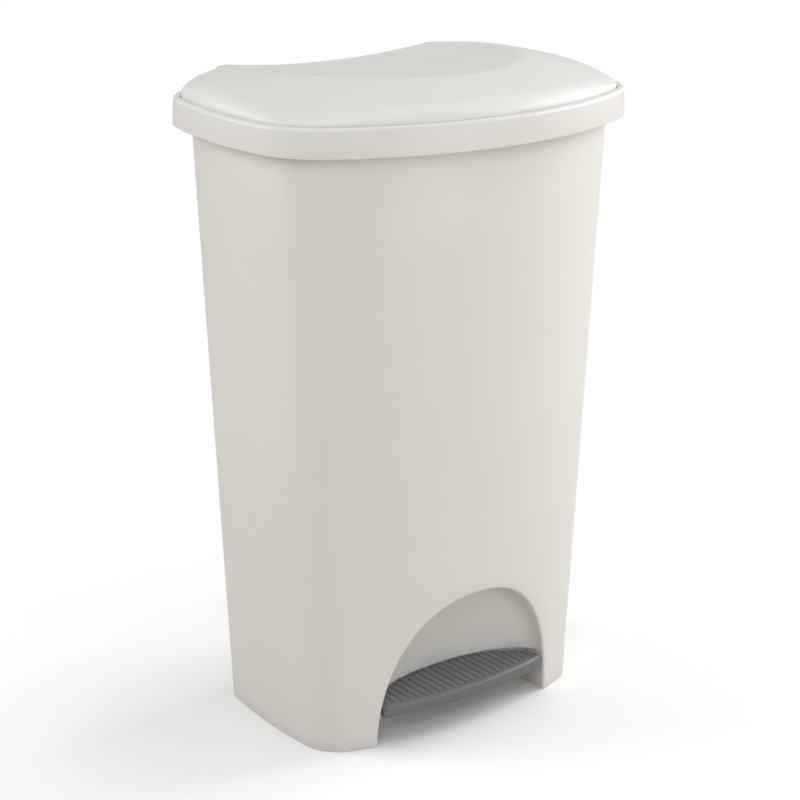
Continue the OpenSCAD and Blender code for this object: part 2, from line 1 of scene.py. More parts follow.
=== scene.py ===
"""A free-standing pedal bin: tapered body with a toe niche, lift-off collar, domed and dished lid."""
import math

import bpy
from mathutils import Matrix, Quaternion, Vector


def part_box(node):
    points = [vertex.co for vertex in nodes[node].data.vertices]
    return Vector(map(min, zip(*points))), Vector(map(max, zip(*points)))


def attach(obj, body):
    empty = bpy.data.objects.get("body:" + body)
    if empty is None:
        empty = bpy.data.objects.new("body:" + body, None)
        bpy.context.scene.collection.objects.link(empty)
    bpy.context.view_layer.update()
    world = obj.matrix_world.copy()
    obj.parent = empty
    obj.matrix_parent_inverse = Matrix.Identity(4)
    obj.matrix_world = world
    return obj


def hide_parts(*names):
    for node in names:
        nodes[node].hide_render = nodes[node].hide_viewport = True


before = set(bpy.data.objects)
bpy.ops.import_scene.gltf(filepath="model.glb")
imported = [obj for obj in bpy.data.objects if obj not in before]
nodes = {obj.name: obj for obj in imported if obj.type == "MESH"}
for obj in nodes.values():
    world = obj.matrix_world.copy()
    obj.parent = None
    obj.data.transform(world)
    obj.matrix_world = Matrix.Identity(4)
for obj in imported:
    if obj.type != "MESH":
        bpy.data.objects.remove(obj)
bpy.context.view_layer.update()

# ---------------------------------------------------------------- camera
# The bin is seen from its left front, a little above the lid, through a long lens, so that its
# upright edges stay nearly parallel.

LENS = 93.56
AZIMUTH = math.radians(36.91)
ELEVATION = math.radians(18.34)
DISTANCE = 2.1864
ROLL = math.radians(0.195)
ahead = Vector((math.sin(AZIMUTH) * math.cos(ELEVATION), math.cos(AZIMUTH) * math.cos(ELEVATION),
                -math.sin(ELEVATION)))
rightward = Vector((math.cos(AZIMUTH), -math.sin(AZIMUTH), 0))
upward = rightward.cross(ahead)
aim = Vector((0, -0.00225, 0.3228)) - 0.0147 * rightward + 0.0096 * upward
bpy.ops.object.camera_add(location=aim - DISTANCE * ahead)
camera = bpy.context.object
camera.name = "camera"
camera.rotation_mode = "QUATERNION"
camera.rotation_quaternion = ahead.to_track_quat("-Z", "Y") @ Quaternion((0, 0, 1), ROLL)
camera.data.lens = LENS
camera.data.sensor_width = 36
bpy.context.scene.camera = camera

# ---------------------------------------------------------------- body
# The body is one deep moulding of satin white polypropylene, 3 mm thick, which tapers to its foot.
# Its front is gently bowed, its back flat, with a toe niche in front and a channel for the push
# rod behind. The raised floor is moulded in one with it.

WALL = 0.003
FLOOR_LOW = 0.072
COLLAR_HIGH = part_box("collar")[1].z
COLLAR_LOW = COLLAR_HIGH - 0.0285
# a plan: half width, front, back, radii of front and side bows, place of the widest line, and
# radii of the front and back corners
FOOT_PLAN = [0.174, 0.108, 0.118, 0.397, 0.613, 0.01275, 0.0455, 0.030]
COLLAR_PLAN = [0.225, 0.1575, 0.1575, 0.365, 0.400, 0.01275, 0.082, 0.063]
BODY_INSET = 0.0189


def inset(plan, distance):
    """The plan moved inwards, with every bow and corner kept parallel."""
    return [size if i == 5 else size - distance for i, size in enumerate(plan)]


def blend_plans(low, high, share):
    return [a + (b - a) * share for a, b in zip(low, high)]


def body_plan(z):
    return blend_plans(FOOT_PLAN, inset(COLLAR_PLAN, BODY_INSET), z / COLLAR_LOW)


def plan_arcs(plan):
    """The right half's four arcs, from the middle of the front: centre, radius, start and end angle."""
    half_width, front, back, front_bow, side_bow, widest, front_round, back_round = plan
    bow = Vector((0, front_bow - front))
    side = Vector((half_width - side_bow, widest))
    reach_bow = front_bow - front_round
    reach_side = side_bow - front_round
    apart = side - bow
    along = (reach_bow ** 2 - reach_side ** 2 + apart.length ** 2) / (2 * apart.length)
    across = math.sqrt(reach_bow ** 2 - along ** 2)
    unit = apart.normalized()
    corners = [bow + along * unit + s * across * Vector((-unit.y, unit.x)) for s in (-1, 1)]
    front_corner = min(corners, key=lambda c: c.y)
    rise = back - back_round - widest
    back_corner = Vector((side.x + math.sqrt((side_bow - back_round) ** 2 - rise ** 2), rise + widest))

    def heading(start, end):
        return math.atan2(end.y - start.y, end.x - start.x)

    turns = [-math.pi / 2, heading(bow, front_corner), heading(side, front_corner)]
    turns[2] = turns[2] if turns[2] < math.pi / 2 else turns[2] - 2 * math.pi
    turns += [heading(side, back_corner), math.pi / 2]
    return [(bow, front_bow, turns[0], turns[1]), (front_corner, front_round, turns[1], turns[2]),
            (side, side_bow, turns[2], turns[3]), (back_corner, back_round, turns[3], turns[4])]


def deselect_all():
    if bpy.context.object and bpy.context.object.mode == "EDIT":
        bpy.ops.object.mode_set(mode="OBJECT")
    bpy.ops.object.select_all(action="DESELECT")


def new_point(name, place):
    """A new mesh of one vertex, left in edit mode with it selected."""
    deselect_all()
    bpy.ops.mesh.primitive_plane_add(size=0.01)
    piece = bpy.context.object
    piece.name = name
    piece.data.name = name
    bpy.ops.object.mode_set(mode="EDIT")
    bpy.ops.mesh.select_mode(type="VERT")
    bpy.ops.mesh.select_all(action="SELECT")
    bpy.ops.mesh.merge(type="CENTER")
    bpy.ops.transform.translate(value=place)
    return piece


def sweep_round(plan, steps, back_stops=()):
    """Spins what is selected along the plan's right half, then straight to each stop at the back."""
    for (centre, radius, start, end), count in zip(plan_arcs(plan), steps):
        bpy.ops.mesh.spin(steps=count, angle=start - end, center=(centre.x, centre.y, 0), axis=(0, 0, 1))
    here = plan_arcs(plan)[3][0].x
    for stop in back_stops:
        bpy.ops.mesh.extrude_region_move(TRANSFORM_OT_translate={"value": (stop - here, 0, 0)})
        here = stop


def mirror_left(piece):
    """Adds the left half of a piece whose right half is drawn."""
    bpy.ops.object.mode_set(mode="OBJECT")
    mirror = piece.modifiers.new("Mirror", "MIRROR")
    mirror.use_clip = True
    mirror.merge_threshold = 0.00002
    bpy.ops.object.modifier_apply(modifier=mirror.name)


def choose(piece, test, kind="FACE", rim_only=False):
    """Selects the faces, edges or vertices whose middle passes the test, and opens edit mode."""
    bpy.ops.object.mode_set(mode="EDIT")
    bpy.ops.mesh.select_mode(type=kind)
    bpy.ops.mesh.select_all(action="DESELECT")
    if rim_only:
        bpy.ops.mesh.select_non_manifold()
    bpy.ops.object.mode_set(mode="OBJECT")
    mesh = piece.data
    places = [v.co.copy() for v in mesh.vertices]
    if kind == "VERT":
        parts = [(v, places[v.index]) for v in mesh.vertices]
    elif kind == "EDGE":
        parts = [(e, (places[e.vertices[0]] + places[e.vertices[1]]) / 2) for e in mesh.edges]
    else:
        parts = [(f, f.center) for f in mesh.polygons]
    wanted = [part for part, middle in parts if (part.select or not rim_only) and test(middle)]
    for group in (mesh.polygons, mesh.edges, mesh.vertices):
        group.foreach_set("select", [False] * len(group))
    for part in wanted:
        part.select = True
        for i in getattr(part, "vertices", []):
            mesh.vertices[i].select = True
    bpy.ops.object.mode_set(mode="EDIT")


def chosen_points(piece):
    """The selected vertices; leaves edit mode, so that they can be moved one by one."""
    bpy.ops.object.mode_set(mode="OBJECT")
    return [v for v in piece.data.vertices if v.select]


def join_to(piece, *others):
    """Joins other pieces to this one."""
    deselect_all()
    for each in (piece, *others):
        each.select_set(True)
    bpy.context.view_layer.objects.active = piece
    bpy.ops.object.join()


SPINE_HALF_WIDTH = 0.023
BODY_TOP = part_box("body_shell")[1].z
FOOT_STEPS = (18, 10, 10, 8)


def draw_body_wall():
    """The tapered wall: an outline at the foot and one at the top, bridged."""
    body = None
    for z in (0, BODY_TOP):
        plan = body_plan(z)
        piece = new_point("body", (0, -plan[1], z))
        sweep_round(plan, FOOT_STEPS, (SPINE_HALF_WIDTH, 0))
        mirror_left(piece)
        if body:
            join_to(body, piece)
        body = body or piece
    bpy.ops.object.mode_set(mode="EDIT")
    bpy.ops.mesh.select_all(action="SELECT")
    bpy.ops.mesh.bridge_edge_loops()
    bpy.ops.mesh.select_all(action="SELECT")
    bpy.ops.mesh.normals_make_consistent(inside=False)
    return body


NICHE_HALF_WIDTH = 0.112
NICHE_HEIGHT = 0.153
ARCH_POWER = 2.2
NICHE_MOUTH_Y = -0.092
NICHE_BACK_Y = -0.045
PANEL_TOP = 0.200
PANEL_ROWS = 12
WALL_ROWS = (0.4, 0.52)
ARCH_POINTS = 2 * PANEL_ROWS + 2 * FOOT_STEPS[0]
POCKET_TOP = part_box("pedal_tread")[1].z + 0.0014
POCKET_BACK_Y = -0.042
POCKET_ROUND = 0.018
SPINE_TOP = 0.2746
SPINE_BACK_Y = 0.127


def arch_place(step):
    """A point of the niche's arch, from its right foot (step 0) over the top to its left foot."""
    angle = math.pi * step / ARCH_POINTS
    across = math.copysign(abs(math.cos(angle)) ** (2 / ARCH_POWER), math.cos(angle))
    return NICHE_HALF_WIDTH * across, NICHE_HEIGHT * max(0, math.sin(angle)) ** (2 / ARCH_POWER)


def arch_share(place):
    """1 on the arch's outline, less inside it."""
    return (abs(place.x) / NICHE_HALF_WIDTH) ** ARCH_POWER + (abs(place.z) / NICHE_HEIGHT) ** ARCH_POWER


def front_y(x, z):
    """The bowed front face."""
    plan = body_plan(z)
    return plan[3] - plan[1] - math.sqrt(plan[3] ** 2 - x ** 2)


def choose_rim(piece, test):
    """Selects the open and loose edges whose middle passes the test, and opens edit mode."""
    choose(piece, test, "EDGE", rim_only=True)


def between_foot_and_top(middle):
    return 1e-5 < middle.z < BODY_TOP - 1e-5


def draw_arch():
    """The niche's arch as a chain of edges on the front face."""
    arch = new_point("arch", (1, 0, 0))
    bpy.ops.mesh.spin(steps=ARCH_POINTS, angle=math.pi, center=(0, 0, 0), axis=(0, 1, 0))
    bpy.ops.object.mode_set(mode="OBJECT")
    for v in arch.data.vertices:
        step = round(math.atan2(max(v.co.z, 0), v.co.x) / math.pi * ARCH_POINTS)
        x, z = arch_place(step)
        v.co = x, front_y(x, z), z
    return arch


def extend_scoop(piece):
    """Carries the selected arch straight back to the scoop's start, then round to its deepest point."""
    bpy.ops.mesh.extrude_region_move()
    for v in chosen_points(piece):
        v.co.y = NICHE_MOUTH_Y
    depth = NICHE_BACK_Y - NICHE_MOUTH_Y
    width_before = 1
    for turn in range(8, 88, 8):
        width = math.cos(math.radians(turn))
        bpy.ops.object.mode_set(mode="EDIT")
        bpy.ops.mesh.extrude_region_move()
        for v in chosen_points(piece):
            v.co.x *= width / width_before
            v.co.z *= width / width_before
            v.co.y = NICHE_MOUTH_Y + depth * math.sin(math.radians(turn))
        width_before = width
    bpy.ops.object.mode_set(mode="EDIT")
    bpy.ops.mesh.extrude_region_move()
    bpy.ops.mesh.merge(type="CENTER")
    for v in chosen_points(piece):
        v.co = 0, NICHE_BACK_Y, 0


def cut_niche(body):
    """Opens the front, draws the panel round the arch and sinks the niche behind it."""
    rows = [PANEL_TOP * (i + 1) / PANEL_ROWS for i in range(PANEL_ROWS)]
    rows += [SPINE_TOP, *WALL_ROWS]
    for z in rows:
        bpy.ops.mesh.select_all(action="SELECT")
        bpy.ops.mesh.bisect(plane_co=(0, 0, z), plane_no=(0, 0, 1))

    def in_panel(middle):
        bow, radius, start, end = plan_arcs(body_plan(middle.z))[0]
        return middle.y < 0 and middle.z < PANEL_TOP and abs(middle.x) < radius * math.cos(end)

    choose(body, in_panel)
    bpy.ops.mesh.delete(type="FACE")
    join_to(body, draw_arch())
    choose_rim(body, between_foot_and_top)
    bpy.ops.mesh.bridge_edge_loops(number_cuts=3, interpolation="LINEAR")
    bpy.ops.object.mode_set(mode="OBJECT")
    for v in body.data.vertices:
        in_front = v.co.y < 0 and v.co.z < PANEL_TOP + 1e-5
        if in_front and abs(v.co.x) < 0.13 and in_panel(v.co):
            v.co.y = front_y(v.co.x, v.co.z)
    choose_rim(body, between_foot_and_top)
    extend_scoop(body)
    choose(body, lambda m: arch_share(m) < 1.005 and m.y < NICHE_BACK_Y)
    bpy.ops.mesh.bisect(plane_co=(0, 0, POCKET_TOP), plane_no=(0, 0, 1))
    for v in chosen_points(body):
        v.co.z = POCKET_TOP
    choose(body, lambda m: arch_share(m) < 1.005 and m.y < NICHE_BACK_Y and m.z < POCKET_TOP)
    bpy.ops.mesh.delete(type="FACE")
    draw_pocket(body)


def draw_pocket(body):
    """The straight pocket under the scoop, drawn round from the right leg to the left one."""
    def on_leg(middle, side):
        return middle.z < POCKET_TOP and side * middle.x > 0.1 and middle.y < NICHE_MOUTH_Y + 0.003

    corner_x = NICHE_HALF_WIDTH - POCKET_ROUND
    corner_y = POCKET_BACK_Y - POCKET_ROUND
    choose_rim(body, lambda m: 1e-5 < m.z and on_leg(m, 1))
    bpy.ops.mesh.extrude_region_move()
    for v in chosen_points(body):
        v.co.x = NICHE_HALF_WIDTH
        v.co.y = corner_y
    bpy.ops.object.mode_set(mode="EDIT")
    for x, next_x in ((corner_x, -corner_x), (-corner_x, None)):
        bpy.ops.mesh.spin(steps=6, angle=-math.pi / 2, center=(x, corner_y, 0), axis=(0, 0, 1))
        if next_x:
            bpy.ops.mesh.extrude_region_move(TRANSFORM_OT_translate={"value": (next_x - x, 0, 0)})
    choose_rim(body, lambda m: 1e-5 < m.z and (on_leg(m, -1) or (
        m.z < POCKET_TOP - 1e-5 and m.x < -0.11 and abs(m.y - corner_y) < 1e-4)))
    bpy.ops.mesh.bridge_edge_loops()
    choose_rim(body, lambda m: abs(m.z - POCKET_TOP) < 1e-5)
    bpy.ops.mesh.edge_face_add()
    bpy.ops.mesh.quads_convert_to_tris(ngon_method="CLIP")


ARCH_EDGE_ROUND = 0.003


def on_arch(middle):
    return abs(arch_share(middle) - 1) < 0.012 and abs(middle.y - front_y(middle.x, middle.z)) < 2e-4


def finish_wall(body):
    """Rounds the arch and raises the spine for the rod's channel."""
    choose(body, on_arch, "EDGE")
    bpy.ops.mesh.bevel(offset=ARCH_EDGE_ROUND, segments=4, affect="EDGES")
    choose(body, lambda m: m.y > 0.1 and abs(m.x) < SPINE_HALF_WIDTH and m.z < SPINE_TOP)
    bpy.ops.mesh.extrude_region_move()
    for v in chosen_points(body):
        v.co.y = SPINE_BACK_Y
    bpy.ops.object.mode_set(mode="EDIT")
    bpy.ops.mesh.select_all(action="SELECT")
    bpy.ops.mesh.remove_doubles(threshold=0.00005)
    bpy.ops.mesh.normals_make_consistent(inside=False)
    bpy.ops.object.mode_set(mode="OBJECT")


def apply_modifier(piece, kind, **settings):
    """Adds a modifier with these settings and applies it."""
    deselect_all()
    piece.select_set(True)
    bpy.context.view_layer.objects.active = piece
    modifier = piece.modifiers.new(kind.title(), kind)
    for name, value in settings.items():
        setattr(modifier, name, value)
    bpy.ops.object.modifier_apply(modifier=modifier.name)


def new_block(name, low, high):
    """A rectangular block between two corners, with its place in its mesh."""
    deselect_all()
    bpy.ops.mesh.primitive_cube_add(size=1)
    block = bpy.context.object
    block.name = name
    bpy.ops.object.mode_set(mode="EDIT")
    bpy.ops.transform.resize(value=[b - a for a, b in zip(low, high)])
    bpy.ops.transform.translate(value=[(a + b) / 2 for a, b in zip(low, high)])
    bpy.ops.object.mode_set(mode="OBJECT")
    return block


def cut_away(piece, cutter):
    """Takes the cutter's shape out of a piece and removes the cutter."""
    apply_modifier(piece, "BOOLEAN", object=cutter, operation="DIFFERENCE", solver="EXACT")
    bpy.data.objects.remove(cutter)


def draw_floor():
    """The raised floor, cut out round the niche and for the rod's channel."""
    plan = inset(body_plan(FLOOR_LOW), WALL - 0.0004)
    floor = new_point("floor", (0, -plan[1], FLOOR_LOW))
    sweep_round(plan, FOOT_STEPS, (0,))
    mirror_left(floor)
    bpy.ops.object.mode_set(mode="EDIT")
    bpy.ops.mesh.select_all(action="SELECT")
    bpy.ops.mesh.edge_face_add()
    bpy.ops.mesh.extrude_region_move(TRANSFORM_OT_translate={"value": (0, 0, WALL)})
    bpy.ops.mesh.select_all(action="SELECT")
    bpy.ops.mesh.normals_make_consistent(inside=False)
    form = new_point("niche_form", (1, 0, 0))
    bpy.ops.mesh.spin(steps=2 * ARCH_POINTS, angle=2 * math.pi, center=(0, 0, 0), axis=(0, 1, 0))
    bpy.ops.mesh.select_all(action="SELECT")
    bpy.ops.mesh.remove_doubles(threshold=0.0001)
    bpy.ops.object.mode_set(mode="OBJECT")
    for v in form.data.vertices:
        step = round(math.atan2(abs(v.co.z), v.co.x) / math.pi * ARCH_POINTS)
        x, z = arch_place(step)
        v.co = x, -0.2, math.copysign(z, v.co.z)
    bpy.ops.object.mode_set(mode="EDIT")
    bpy.ops.mesh.select_all(action="SELECT")
    extend_scoop(form)
    choose_rim(form, lambda m: m.y < -0.19)
    bpy.ops.mesh.edge_face_add()
    bpy.ops.mesh.select_all(action="SELECT")
    bpy.ops.mesh.normals_make_consistent(inside=False)
    bpy.ops.transform.shrink_fatten(value=WALL / 2)
    bpy.ops.object.mode_set(mode="OBJECT")
    cut_away(floor, form)
    channel = SPINE_HALF_WIDTH - WALL
    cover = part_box("channel_cover")[0].y + 0.0025
    cut_away(floor, new_block("channel", (-channel, cover, 0.05), (channel, 0.2, 0.1)))
    return floor


def smooth(piece, degrees=38):
    deselect_all()
    piece.select_set(True)
    bpy.context.view_layer.objects.active = piece
    bpy.ops.object.shade_smooth_by_angle(angle=math.radians(degrees))


body = draw_body_wall()
cut_niche(body)
finish_wall(body)
apply_modifier(body, "SOLIDIFY", thickness=WALL, offset=-1, use_even_offset=True, use_rim=True)
apply_modifier(body, "BEVEL", width=0.0007, segments=2, limit_method="ANGLE",
               angle_limit=math.radians(55))
join_to(body, draw_floor())
smooth(body)
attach(body, "bin")
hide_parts("body_shell")


def satin_plastic(name, colour, roughness, grain, patches=0.02):
    """Moulded plastic: a fine spark-eroded grain, and slow changes of tone and gloss."""
    material = bpy.data.materials.new(name)
    material.use_nodes = True
    tree = material.node_tree
    shader = tree.nodes["Principled BSDF"]
    place = tree.nodes.new("ShaderNodeTexCoord")
    fine = tree.nodes.new("ShaderNodeTexNoise")
    fine.inputs["Scale"].default_value = 1400
    fine.inputs["Detail"].default_value = 3
    slow = tree.nodes.new("ShaderNodeTexNoise")
    slow.inputs["Scale"].default_value = 9
    slow.inputs["Detail"].default_value = 4
    for noise in (fine, slow):
        tree.links.new(place.outputs["Object"], noise.inputs["Vector"])
    tones = tree.nodes.new("ShaderNodeValToRGB")
    tones.color_ramp.elements[0].position = 0.3
    tones.color_ramp.elements[1].position = 0.7
    tones.color_ramp.elements[0].color = (*[c * (1 - patches) for c in colour], 1)
    tones.color_ramp.elements[1].color = (*colour, 1)
    tree.links.new(slow.outputs["Fac"], tones.inputs["Fac"])
    tree.links.new(tones.outputs["Color"], shader.inputs["Base Color"])
    gloss = tree.nodes.new("ShaderNodeMapRange")
    gloss.inputs["To Min"].default_value = roughness - 0.05
    gloss.inputs["To Max"].default_value = roughness + 0.05
    tree.links.new(slow.outputs["Fac"], gloss.inputs["Value"])
    tree.links.new(gloss.outputs["Result"], shader.inputs["Roughness"])
    bump = tree.nodes.new("ShaderNodeBump")
    bump.inputs["Strength"].default_value = grain
    bump.inputs["Distance"].default_value = 0.0002
    tree.links.new(fine.outputs["Fac"], bump.inputs["Height"])
    tree.links.new(bump.outputs["Normal"], shader.inputs["Normal"])
    shader.inputs["IOR"].default_value = 1.49
    return material


def finish_with(material, *pieces):
    for piece in pieces:
        piece.data.materials.clear()
        piece.data.materials.append(material)


white_polypropylene = satin_plastic("white_polypropylene", (0.80, 0.785, 0.752), 0.40, 0.12)
finish_with(white_polypropylene, body)

# ---------------------------------------------------------------- rod channel
# Behind the bag a white moulded cover closes the channel in which the push rod runs, between two
# grey acetal guides. Four zinc-plated screws come through the body's spine from the back.

finish_with(white_polypropylene, nodes["channel_cover"])
grey_acetal = satin_plastic("grey_acetal", (0.30, 0.31, 0.315), 0.38, 0.08, 0.06)
finish_with(grey_acetal, nodes["rod_guide_lower"], nodes["rod_guide_upper"],
            nodes["pivot_bracket_left"], nodes["pivot_bracket_right"])


def plated_steel(name, colour, roughness):
    """Zinc-plated steel with a faint cloudy sheen."""
    material = bpy.data.materials.new(name)
    material.use_nodes = True
    tree = material.node_tree
    shader = tree.nodes["Principled BSDF"]
    shader.inputs["Metallic"].default_value = 1
    place = tree.nodes.new("ShaderNodeTexCoord")
    cloud = tree.nodes.new("ShaderNodeTexNoise")
    cloud.inputs["Scale"].default_value = 220
    cloud.inputs["Detail"].default_value = 5
    tree.links.new(place.outputs["Object"], cloud.inputs["Vector"])
    tones = tree.nodes.new("ShaderNodeValToRGB")
    tones.color_ramp.elements[0].color = (*[c * 0.8 for c in colour], 1)
    tones.color_ramp.elements[1].color = (*colour, 1)
    tree.links.new(cloud.outputs["Fac"], tones.inputs["Fac"])
    tree.links.new(tones.outputs["Color"], shader.inputs["Base Color"])
    gloss = tree.nodes.new("ShaderNodeMapRange")
    gloss.inputs["To Min"].default_value = roughness - 0.08
    gloss.inputs["To Max"].default_value = roughness + 0.08
    tree.links.new(cloud.outputs["Fac"], gloss.inputs["Value"])
    tree.links.new(gloss.outputs["Result"], shader.inputs["Roughness"])
    bump = tree.nodes.new("ShaderNodeBump")
    bump.inputs["Strength"].default_value = 0.15
    bump.inputs["Distance"].default_value = 0.0001
    tree.links.new(cloud.outputs["Fac"], bump.inputs["Height"])
    tree.links.new(bump.outputs["Normal"], shader.inputs["Normal"])
    return material


zinc_plated_steel = plated_steel("zinc_plated_steel", (0.62, 0.63, 0.64), 0.34)
finish_with(zinc_plated_steel, *[node for name, node in nodes.items() if "screw" in name])

# ---------------------------------------------------------------- push rod
# A straight steel rod with a grey moulded head, which lifts the lid's heel, and a grey foot,
# under which the lever's nose sits.

finish_with(zinc_plated_steel, nodes["push_rod"])
finish_with(grey_acetal, nodes["rod_head"], nodes["rod_foot"])

# ---------------------------------------------------------------- collar
# The collar is a white moulding that lifts off the body. Its rounded band hangs over the body's
# rim, a lip surrounds the groove in which the lid closes, and a throat inside holds the bag. The
# back of the rim is meant to dip, for the lid's back edge to swing over it.

LEDGE = COLLAR_HIGH - 0.0173
THROAT_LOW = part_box("collar")[0].z
SHEET = 0.0025
LIP_WIDTH = 0.008
BAND_DRAFT = 0.0012
DIP_LOW = COLLAR_HIGH - 0.005
DIP_HALF_WIDTH = 0.164
THROAT_INSET = 0.030
COLLAR_STEPS = (30, 16, 16, 12)


def rounded(corners, steps=5):
    """A chain of points through (distance, height, radius) corners, each with its arc."""
    chain = []
    for i, (x, z, radius) in enumerate(corners):
        here = Vector((x, z))
        back = (Vector(corners[i - 1][:2]) - here).normalized()
        on = (Vector(corners[(i + 1) % len(corners)][:2]) - here).normalized()
        half = back.angle(on) / 2
        centre = here + (back + on).normalized() * radius / math.sin(half)
        start = here + back * radius / math.tan(half) - centre
        end = here + on * radius / math.tan(half) - centre
        for k in range(steps + 1):
            spoke = start.lerp(end, k / steps).normalized() * radius
            chain.append(centre + spoke)
    return chain


def draw_section(name, plan, corners, steps=5):
    """A closed section across the plan's front, in a plane through its middle."""
    chain = rounded(corners, steps)
    piece = new_point(name, (0, chain[0].x - plan[1], chain[0].y))
    for before, here in zip(chain, chain[1:] + chain[:1]):
        move = here - before
        bpy.ops.mesh.extrude_region_move(TRANSFORM_OT_translate={"value": (0, move.x, move.y)})
    bpy.ops.mesh.select_all(action="SELECT")
    bpy.ops.mesh.remove_doubles(threshold=0.00001)
    bpy.ops.mesh.select_all(action="SELECT")
    return piece


collar_section = [
    (0, COLLAR_LOW, 0.0008), (BAND_DRAFT, COLLAR_HIGH, 0.0036), (LIP_WIDTH, COLLAR_HIGH, 0.0006),
    (LIP_WIDTH, LEDGE, 0.0008), (THROAT_INSET, LEDGE, 0.0015), (THROAT_INSET, THROAT_LOW, 0.0008),
    (THROAT_INSET - SHEET, THROAT_LOW, 0.0008), (THROAT_INSET - SHEET, LEDGE - SHEET, 0.0008),
    (LIP_WIDTH - SHEET, LEDGE - SHEET, 0.0008), (LIP_WIDTH - SHEET, COLLAR_HIGH - SHEET, 0.0008),
    (BAND_DRAFT + SHEET, COLLAR_HIGH - SHEET, 0.0015), (SHEET, COLLAR_LOW, 0.0008)]
collar = draw_section("collar_moulding", COLLAR_PLAN, collar_section)
sweep_round(COLLAR_PLAN, COLLAR_STEPS, (0,))
mirror_left(collar)
bpy.ops.object.mode_set(mode="EDIT")
bpy.ops.mesh.select_all(action="SELECT")
bpy.ops.mesh.remove_doubles(threshold=0.00001)
bpy.ops.mesh.normals_make_consistent(inside=False)
bpy.ops.object.mode_set(mode="OBJECT")
housing_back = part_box("rod_housing")[1].y
way = SPINE_HALF_WIDTH - WALL + 0.001
cut_away(collar, new_block("rod_way", (-way, housing_back - 0.005, THROAT_LOW - 0.001),
                           (way, housing_back + 0.005, LEDGE - SHEET)))
band_back = COLLAR_PLAN[2]
cut_away(collar, new_block("dip", (-DIP_HALF_WIDTH, 0.130, DIP_LOW),
                           (DIP_HALF_WIDTH, band_back + 0.01, COLLAR_HIGH + 0.01)))
dip_rim = [new_block("dip_rim", (-DIP_HALF_WIDTH, band_back - LIP_WIDTH, DIP_LOW - SHEET),
                     (DIP_HALF_WIDTH, band_back - BAND_DRAFT, DIP_LOW))]
for side in (-1, 1):
    ends = sorted((side * DIP_HALF_WIDTH, side * (DIP_HALF_WIDTH + SHEET)))
    dip_rim.append(new_block("dip_end", (ends[0], band_back - LIP_WIDTH + 0.0004, DIP_LOW - SHEET),
                             (ends[1], band_back - BAND_DRAFT - 0.0008, COLLAR_HIGH - 0.0005)))
join_to(collar, *dip_rim)
smooth(collar)
finish_with(white_polypropylene, collar, nodes["rod_housing"])
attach(collar, "collar")
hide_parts("collar")

# ---------------------------------------------------------------- hinge and buffers
# Grey acetal brackets on the collar's ledge carry short steel pins, on which the lid turns. Four
# black rubber buttons on the ledge soften the lid's fall.

finish_with(grey_acetal, nodes["hinge_bracket_left"], nodes["hinge_bracket_right"], nodes["heel"])
finish_with(zinc_plated_steel, nodes["hinge_pin_left"], nodes["hinge_pin_right"])
black_rubber = satin_plastic("black_rubber", (0.022, 0.022, 0.023), 0.7, 0.3, 0.15)
finish_with(black_rubber, *[node for name, node in nodes.items() if name.startswith("buffer")])

# ---------------------------------------------------------------- lid
# The lid is a thin white moulding: a shallow dome with a softly rounded edge, cut flat behind, and
# sunk along the back into a broad dish with a crisp curved crease. A low tab sits at the middle
# of its back edge, and a heel seat and two lugs for the hinge pins lie beneath.

LID_PLAN = inset(COLLAR_PLAN, LIP_WIDTH + 0.001)
LID_WALL = 0.0025
LID_ROUND = 0.017
DOME_EDGE = COLLAR_HIGH + 0.0014
DOME_RISE = 0.043
DOME_MIDDLE_Y = 0.037
DISH_RISE = 0.010
DISH_LOWEST_Y = 0.280
SKIRT_DRAFT = 0.994
EDGE_STEPS = 10
BACK_STEPS = 26
LID_RINGS = 44
TAB_HALF_WIDTH = 0.023
SKIRT_LOW = COLLAR_HIGH - 0.016
BACK_SKIRT_LOW = COLLAR_HIGH - 0.007
HINGE_Y = LID_PLAN[2] - 0.0105
HINGE_Z = COLLAR_HIGH + 0.004
HINGE_X = 0.110
LUG_HALF_WIDTH = 0.0065
BARREL_RADIUS = 0.0055
CREASE_SOFTNESS = 0.0004
LID_STEPS = (60, 26, 30, 14)
lid_arcs = plan_arcs(LID_PLAN)
back_end = Vector((lid_arcs[3][0].x, LID_PLAN[2]))


def edge_distance(x, y):
    """How far a point of the lid lies from its rounded edge, which runs out at the flat back."""
    here = Vector((abs(x), y))
    gaps = [radius - (here - centre).length for centre, radius, start, end in lid_arcs]
    bow, front_round, side, back_round = gaps
    turn = here - lid_arcs[1][0]
    heading = math.atan2(turn.y, turn.x)
    if lid_arcs[1][2] <= heading <= lid_arcs[1][3]:
        return front_round
    if here.x < back_end.x:
        return min(bow, side if y < back_end.y - LID_ROUND else 1, (here - back_end).length)
    if y > lid_arcs[3][0].y:
        return back_round
    return min(bow, side)


def lid_height(x, y):
    """The lower of the dome, with its rounded edge, and the dish, with their crease eased."""
    dome = COLLAR_HIGH + DOME_RISE - 0.62 * x * x - 0.92 * (y - DOME_MIDDLE_Y) ** 2
    dish = COLLAR_HIGH + DISH_RISE + 0.48 * x * x + 0.15 * (y - DISH_LOWEST_Y) ** 2
    gap = max(0, edge_distance(x, y))
    if gap < LID_ROUND:
        dome = DOME_EDGE + (dome - DOME_EDGE) * math.sqrt(1 - (1 - gap / LID_ROUND) ** 2)
    overlap = max(CREASE_SOFTNESS - abs(dome - dish), 0) / CREASE_SOFTNESS
    return min(dome, dish) - overlap ** 2 * CREASE_SOFTNESS / 4


def edge_ring(place):
    """Distance from the plan's whole edge, the flat back included."""
    return min(edge_distance(place.x, place.y), LID_PLAN[2] - place.y)


